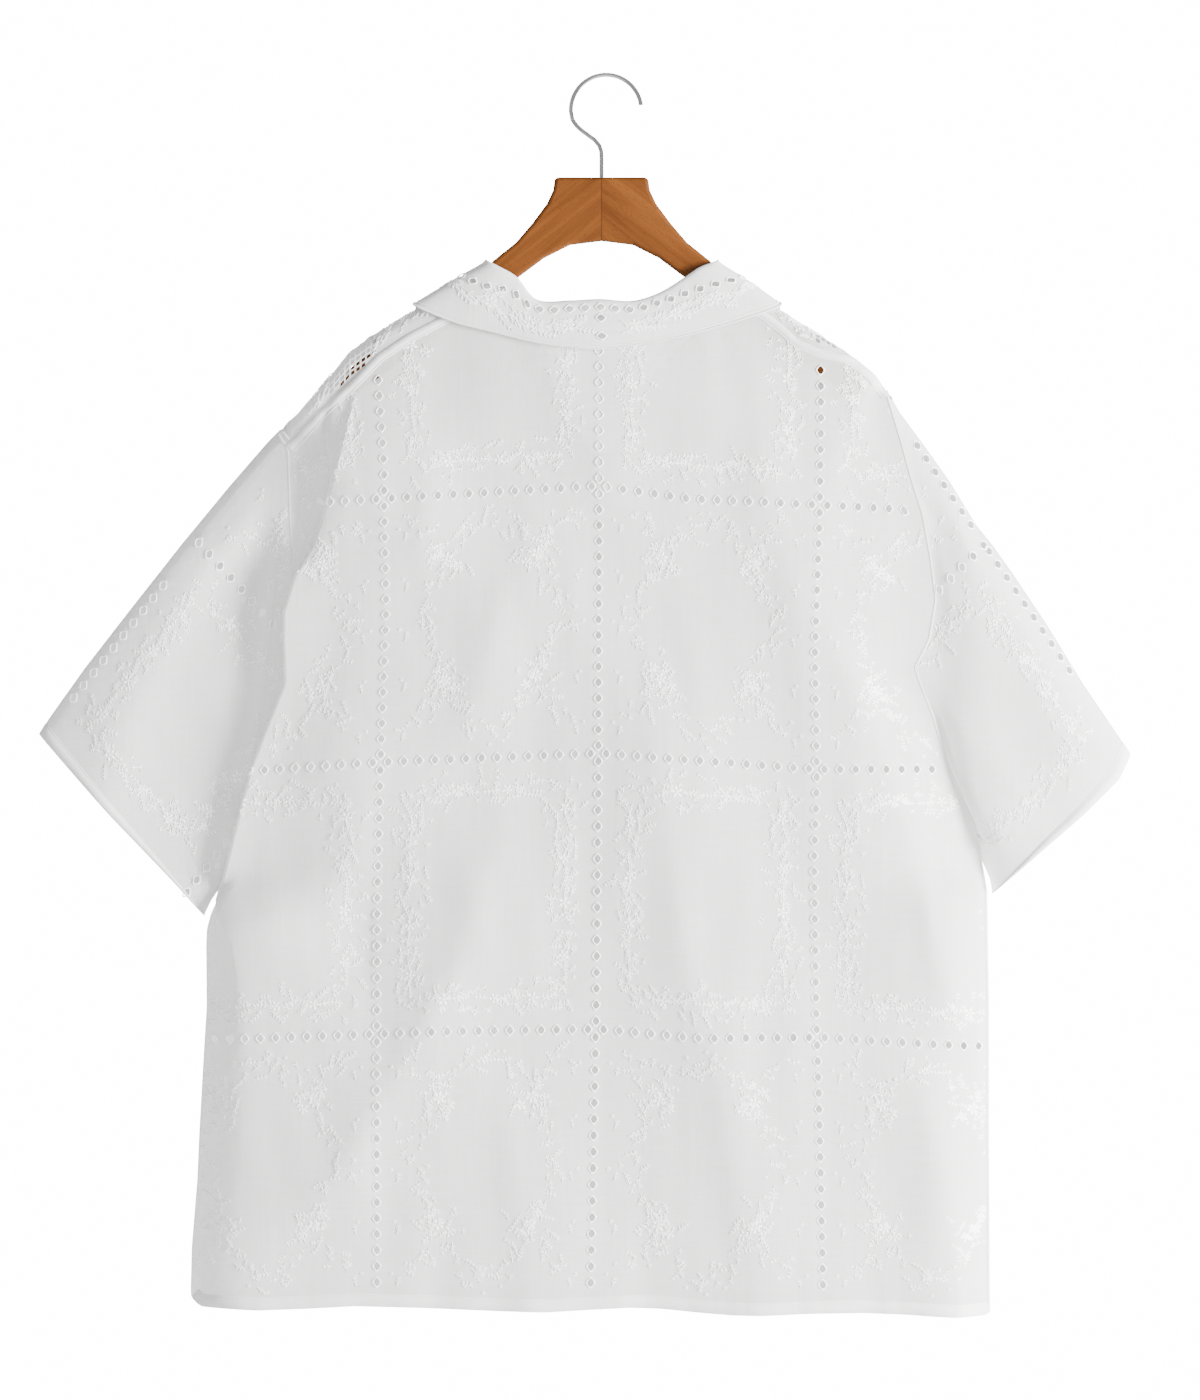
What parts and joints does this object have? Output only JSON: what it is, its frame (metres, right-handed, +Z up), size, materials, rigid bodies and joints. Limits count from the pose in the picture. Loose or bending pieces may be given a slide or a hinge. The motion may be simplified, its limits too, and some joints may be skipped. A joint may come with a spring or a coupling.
{
  "type": "lace shirt on hanger",
  "caption": "White eyelet-embroidered cotton shirt with an open collar and wide short sleeves, hanging on a wooden hanger with a wire hook.",
  "frame": {"origin": "inner top of the hanger's hook, where it hangs from a rail", "axes": "+Z up, back of the shirt towards -Y, front towards +Y, +X to the wearer's right"},
  "size_m": [0.8072, 0.0799, 0.918],
  "materials": {
    "fabric": "matte, sheer",
    "matte_plastic": "satin",
    "wood": "satin varnish",
    "chrome": "polished"
  },
  "bodies": {
    "root": {"back": "fabric", "front_left": "fabric", "front_right": "fabric", "sleeve_left": "fabric", "sleeve_right": "fabric", "collar": "fabric", "button_1": "matte_plastic", "button_2": "matte_plastic", "button_3": "matte_plastic", "button_4": "matte_plastic", "button_5": "matte_plastic", "hanger_body": "wood", "hanger_hook": "chrome"}
  },
  "joints": []
}
